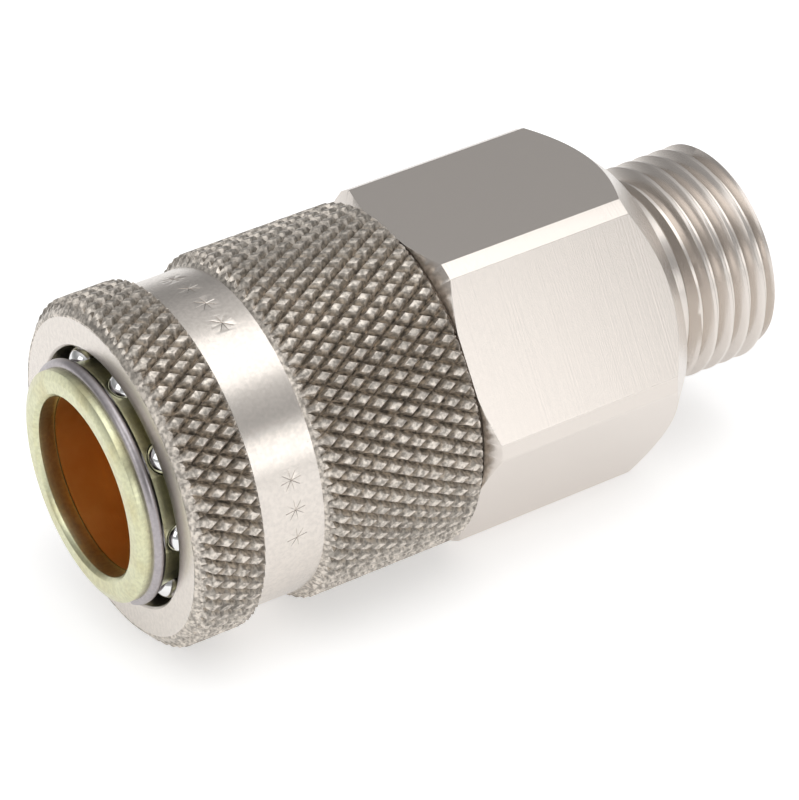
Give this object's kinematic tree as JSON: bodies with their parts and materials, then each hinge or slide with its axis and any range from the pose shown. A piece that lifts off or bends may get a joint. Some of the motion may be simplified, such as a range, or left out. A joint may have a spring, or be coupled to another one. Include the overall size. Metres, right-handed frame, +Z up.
{
  "type": "liquid cooling quick coupling",
  "caption": "Ball-lock quick coupling socket with knurled sleeve, hexagon adapter and male pipe thread.",
  "frame": {"origin": "on the coupling's lowest line, halfway along its length, below its axis", "axes": "+X along the coupling's axis, from the socket's nose to the pipe thread; +Z up, square to the hexagon's top flat"},
  "size_m": [0.068, 0.0338, 0.0327],
  "materials": {
    "nickel_plated_brass": "satin",
    "passivated_steel": "satin",
    "spring_steel": "satin",
    "ball_steel": "polished",
    "bare_brass": "satin",
    "seal_rubber": "matte"
  },
  "bodies": {
    "body": {"adapter_body": "nickel_plated_brass", "front_body": "passivated_steel", "snap_ring": "spring_steel", "tube_seal": "seal_rubber", "valve_stem_guide": "bare_brass", "sleeve_spring": "spring_steel", "valve_spring": "spring_steel"},
    "sleeve": {"locking_sleeve": "nickel_plated_brass"},
    "valve": {"valve_sleeve": "bare_brass", "valve_head": "bare_brass", "valve_seal": "seal_rubber", "plug_seal": "seal_rubber", "piston_seal": "seal_rubber"},
    "ball_1_body": {"ball_1": "ball_steel"},
    "ball_2_body": {"ball_2": "ball_steel"},
    "ball_3_body": {"ball_3": "ball_steel"},
    "ball_4_body": {"ball_4": "ball_steel"},
    "ball_5_body": {"ball_5": "ball_steel"},
    "ball_6_body": {"ball_6": "ball_steel"},
    "ball_7_body": {"ball_7": "ball_steel"},
    "ball_8_body": {"ball_8": "ball_steel"},
    "ball_9_body": {"ball_9": "ball_steel"}
  },
  "joints": [
    {"name": "sleeve_slide", "type": "slide", "parent": "body", "child": "sleeve", "axis": [-1, 0, 0], "range_m": [0, 0.0042], "deforming": ["sleeve_spring"]},
    {"name": "valve_slide", "type": "slide", "parent": "body", "child": "valve", "axis": [1, 0, 0], "range_m": [0, 0.00951], "stiffness_N_per_m": 600, "springref_m": -0.004, "deforming": ["valve_spring"]},
    {"name": "ball_1_slide", "type": "slide", "parent": "body", "child": "ball_1_body", "axis": [0, -0.9272, -0.3746], "range_m": [0, 0.00131]},
    {"name": "ball_2_slide", "type": "slide", "parent": "body", "child": "ball_2_body", "axis": [0, -0.4695, -0.8829], "range_m": [0, 0.00131]},
    {"name": "ball_3_slide", "type": "slide", "parent": "body", "child": "ball_3_body", "axis": [0, 0.2079, -0.9781], "range_m": [0, 0.00131]},
    {"name": "ball_4_slide", "type": "slide", "parent": "body", "child": "ball_4_body", "axis": [0, 0.788, -0.6157], "range_m": [0, 0.00131]},
    {"name": "ball_5_slide", "type": "slide", "parent": "body", "child": "ball_5_body", "axis": [0, 0.9994, 0.0349], "range_m": [0, 0.00131]},
    {"name": "ball_6_slide", "type": "slide", "parent": "body", "child": "ball_6_body", "axis": [0, 0.7431, 0.6691], "range_m": [0, 0.00131]},
    {"name": "ball_7_slide", "type": "slide", "parent": "body", "child": "ball_7_body", "axis": [0, 0.1392, 0.9903], "range_m": [0, 0.00131]},
    {"name": "ball_8_slide", "type": "slide", "parent": "body", "child": "ball_8_body", "axis": [0, -0.5299, 0.848], "range_m": [0, 0.00131]},
    {"name": "ball_9_slide", "type": "slide", "parent": "body", "child": "ball_9_body", "axis": [0, -0.9511, 0.309], "range_m": [0, 0.00131]}
  ],
  "couplings": [
    {"joint": "valve_slide", "follows": "sleeve_slide", "ratio": 2.2619},
    {"joint": "ball_1_slide", "follows": "sleeve_slide", "ratio": 0.30952},
    {"joint": "ball_2_slide", "follows": "sleeve_slide", "ratio": 0.30952},
    {"joint": "ball_3_slide", "follows": "sleeve_slide", "ratio": 0.30952},
    {"joint": "ball_4_slide", "follows": "sleeve_slide", "ratio": 0.30952},
    {"joint": "ball_5_slide", "follows": "sleeve_slide", "ratio": 0.30952},
    {"joint": "ball_6_slide", "follows": "sleeve_slide", "ratio": 0.30952},
    {"joint": "ball_7_slide", "follows": "sleeve_slide", "ratio": 0.30952},
    {"joint": "ball_8_slide", "follows": "sleeve_slide", "ratio": 0.30952},
    {"joint": "ball_9_slide", "follows": "sleeve_slide", "ratio": 0.30952}
  ]
}
